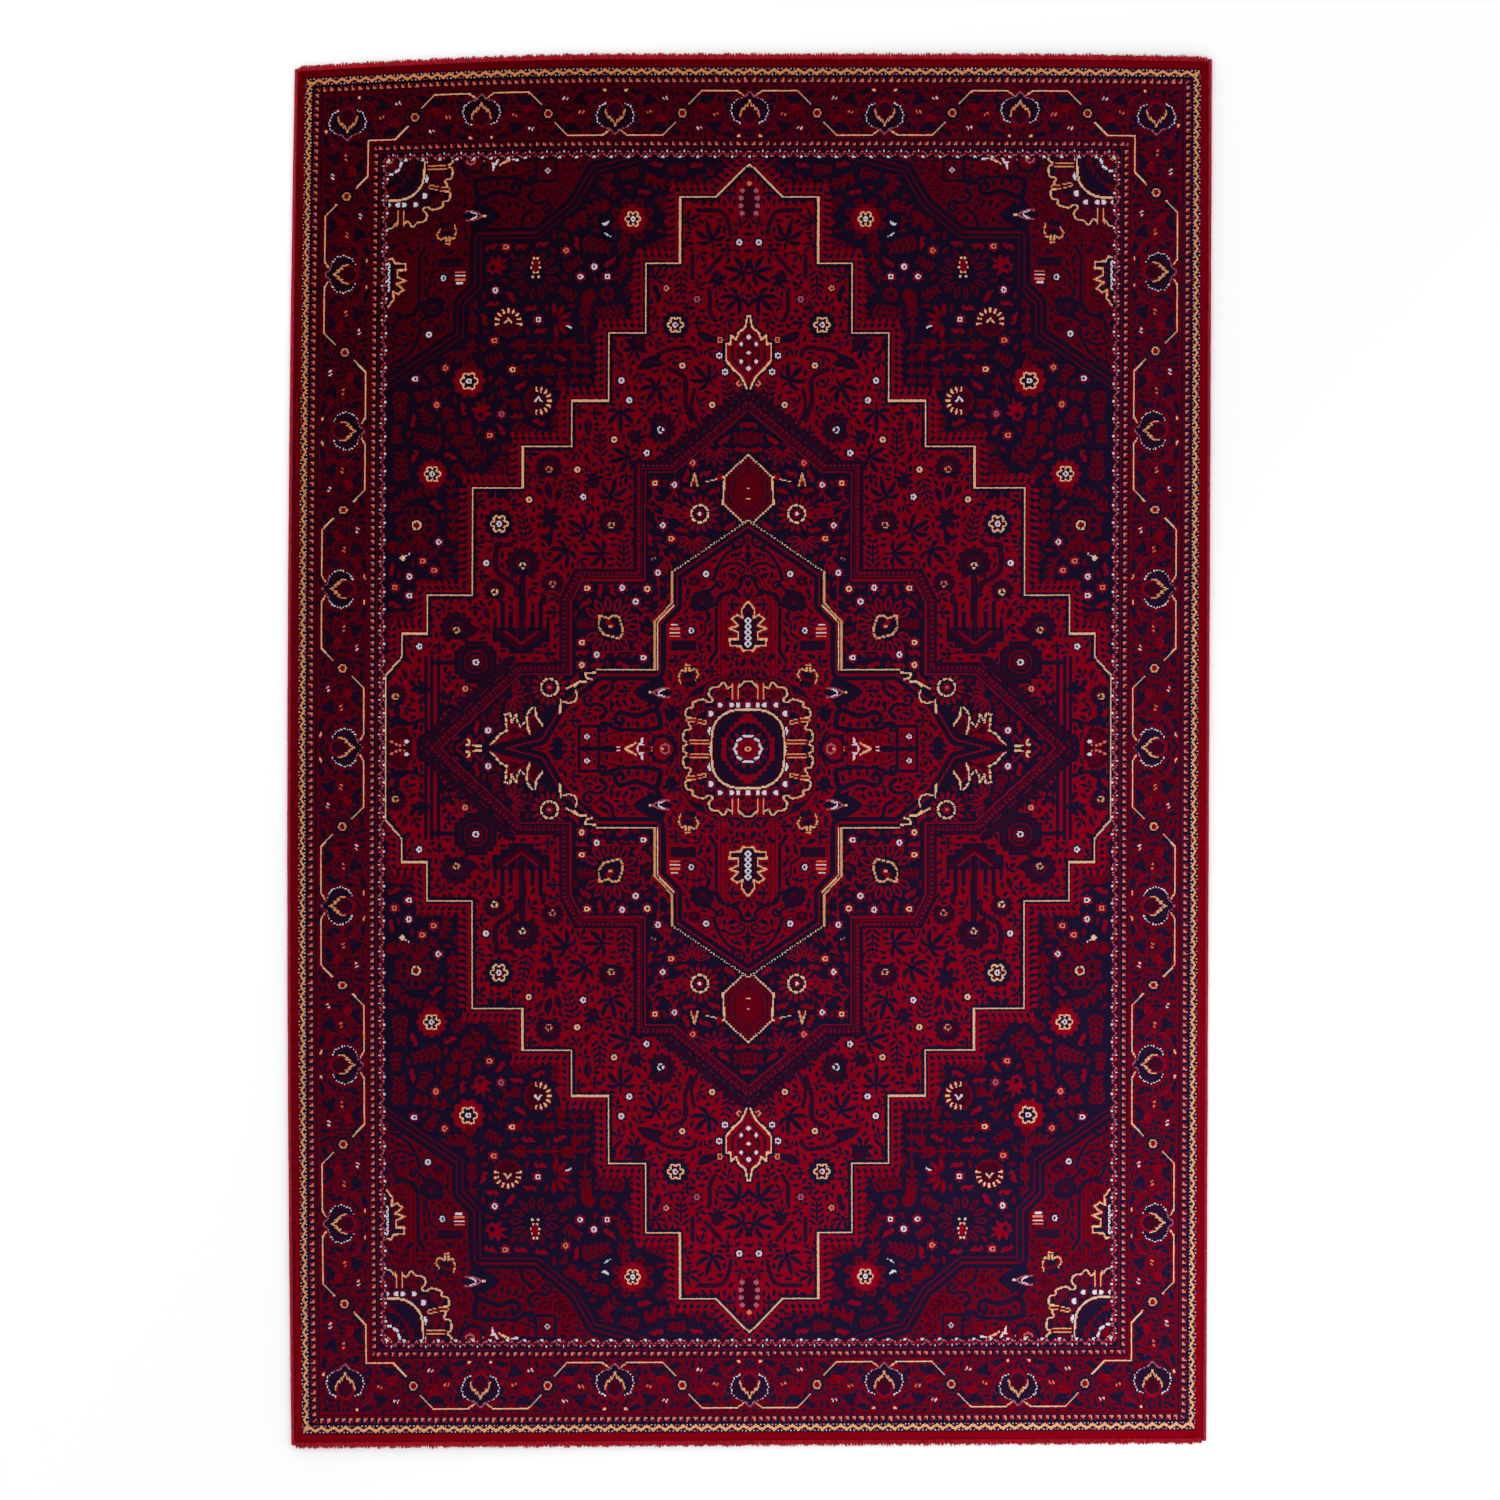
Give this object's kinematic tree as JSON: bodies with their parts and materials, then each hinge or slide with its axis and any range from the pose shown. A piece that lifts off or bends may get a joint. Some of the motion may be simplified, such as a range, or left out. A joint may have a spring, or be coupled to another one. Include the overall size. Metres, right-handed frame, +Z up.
{
  "type": "area rug",
  "caption": "Rectangular cut-pile area rug with a stepped medallion and striped borders, serged sides and folded ends, lying flat on its woven, latex-coated back.",
  "frame": {"origin": "centre of the underside, on the floor", "axes": "+X across the rug, +Y along its length, +Z up out of the pile"},
  "size_m": [1.6, 2.4, 0.0123],
  "materials": {
    "crimson_yarn": "heat-set pile yarn, fluffy at the ends and overcast along the sides",
    "wine_pile": "cut pile, dark wine red",
    "gold_pile": "cut pile, old gold",
    "navy_pile": "cut pile, navy ground with red, gold and white motifs",
    "red_pile": "cut pile, clear red ground with navy motifs",
    "mosaic_pile": "cut pile, fine red, white and navy flecks",
    "jute_weft": "plain jute weft, ribbed",
    "cotton_warp": "undyed cotton and polyester warp",
    "hem_cloth": "heading cloth, folded under and glued",
    "latex_coat": "thin matt latex size"
  },
  "bodies": {
    "root": {"centre_rosette": "navy_pile", "corner_rosette_far_left": "navy_pile", "corner_rosette_far_right": "navy_pile", "corner_rosette_near_left": "navy_pile", "corner_rosette_near_right": "navy_pile", "cross_medallion_far_left": "navy_pile", "cross_medallion_far_right": "navy_pile", "cross_medallion_near_left": "navy_pile", "cross_medallion_near_right": "navy_pile", "end_hem_far": "hem_cloth", "end_hem_near": "hem_cloth", "end_tufts_far": "crimson_yarn", "end_tufts_near": "crimson_yarn", "field_corner_far_left": "navy_pile", "field_corner_far_right": "navy_pile", "field_corner_near_left": "navy_pile", "field_corner_near_right": "navy_pile", "gold_guard_far": "gold_pile", "gold_guard_left": "gold_pile", "gold_guard_near": "gold_pile", "gold_guard_right": "gold_pile", "inner_tooth_stripe_far": "wine_pile", "inner_tooth_stripe_left": "wine_pile", "inner_tooth_stripe_near": "wine_pile", "inner_tooth_stripe_right": "wine_pile", "latex_back_coat": "latex_coat", "lobed_medallion_far_left": "red_pile", "lobed_medallion_far_right": "red_pile", "lobed_medallion_near_left": "red_pile", "lobed_medallion_near_right": "red_pile", "lower_weft_layer": "jute_weft", "main_border_far": "navy_pile", "main_border_left": "navy_pile", "main_border_near": "navy_pile", "main_border_right": "navy_pile", "medallion_ground_far_left": "red_pile", "medallion_ground_far_right": "red_pile", "medallion_ground_near_left": "red_pile", "medallion_ground_near_right": "red_pile", "mosaic_guard_far": "mosaic_pile", "mosaic_guard_left": "mosaic_pile", "mosaic_guard_near": "mosaic_pile", "mosaic_guard_right": "mosaic_pile", "outer_tooth_stripe_far": "navy_pile", "outer_tooth_stripe_left": "navy_pile", "outer_tooth_stripe_near": "navy_pile", "outer_tooth_stripe_right": "navy_pile", "plain_edge_far": "wine_pile", "plain_edge_left": "wine_pile", "plain_edge_near": "wine_pile", "plain_edge_right": "wine_pile", "serging_left": "crimson_yarn", "serging_right": "crimson_yarn", "side_cord_left": "cotton_warp", "side_cord_right": "cotton_warp", "stuffer_warp_layer": "cotton_warp", "upper_weft_layer": "jute_weft"}
  },
  "joints": []
}
